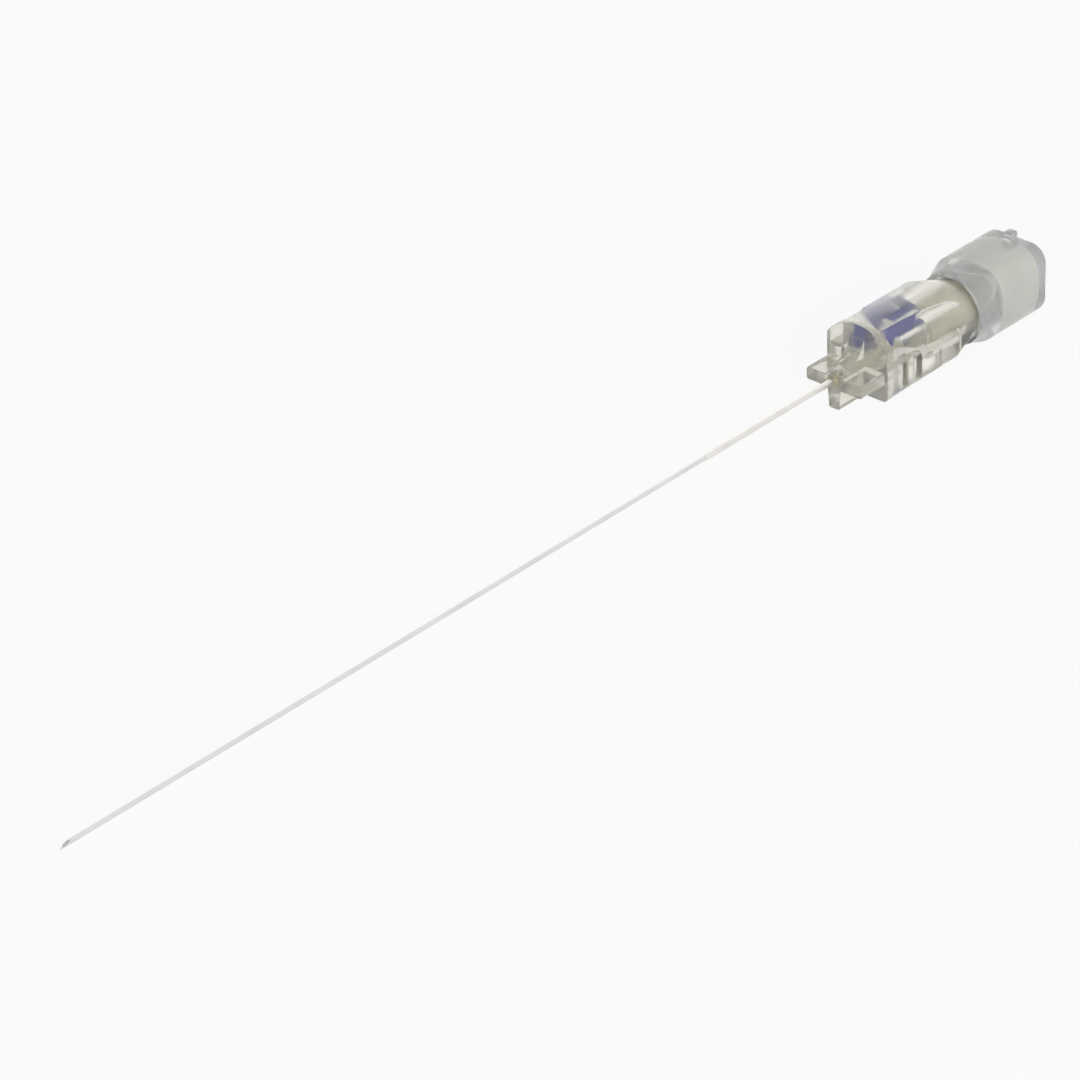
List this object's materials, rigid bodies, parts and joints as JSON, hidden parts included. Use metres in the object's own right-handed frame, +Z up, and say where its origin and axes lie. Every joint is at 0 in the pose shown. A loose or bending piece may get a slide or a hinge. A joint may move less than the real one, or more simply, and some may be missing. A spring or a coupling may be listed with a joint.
{
  "type": "spinal needle",
  "caption": "Fine hollow needle with a bevelled tip, a reinforcing sleeve, a clear winged hub with a taper socket, and a stylet with a clear cap that draws out along the needle.",
  "frame": {"origin": "on the needle's axis, where the cannula and its sleeve leave the front of the hub", "axes": "+X back along the needle's axis towards the cap, so the tip points to -X; +Z up, away from the lower fin; +Y to the right of someone who looks from the cap towards the tip, which is the side with the coloured plate"},
  "size_m": [0.1152, 0.0068, 0.0074],
  "materials": {
    "clear_hub": "clear moulded plastic, slightly milky",
    "clear_cap": "clear moulded plastic",
    "natural_plastic": "uncoloured moulded plastic",
    "milky_plastic": "milky moulded plastic",
    "blue_plastic": "deep blue moulded plastic",
    "cannula_steel": "drawn and polished stainless steel",
    "sleeve_steel": "drawn and polished stainless steel",
    "wire_steel": "drawn stainless steel wire",
    "adhesive": "cured clear adhesive"
  },
  "bodies": {
    "needle": {"hub": "clear_hub", "cannula_seat": "natural_plastic", "cannula": "cannula_steel", "reinforcing_sleeve": "sleeve_steel", "hub_adhesive": "adhesive", "colour_marker": "blue_plastic"},
    "stylet": {"stylet_wire": "wire_steel", "stylet_plug": "milky_plastic", "stylet_cap": "clear_cap", "stylet_adhesive": "adhesive"}
  },
  "joints": [
    {"name": "stylet_slide", "type": "slide", "parent": "needle", "child": "stylet", "axis": [1, 0, 0], "range_m": [0, 0.115]}
  ]
}
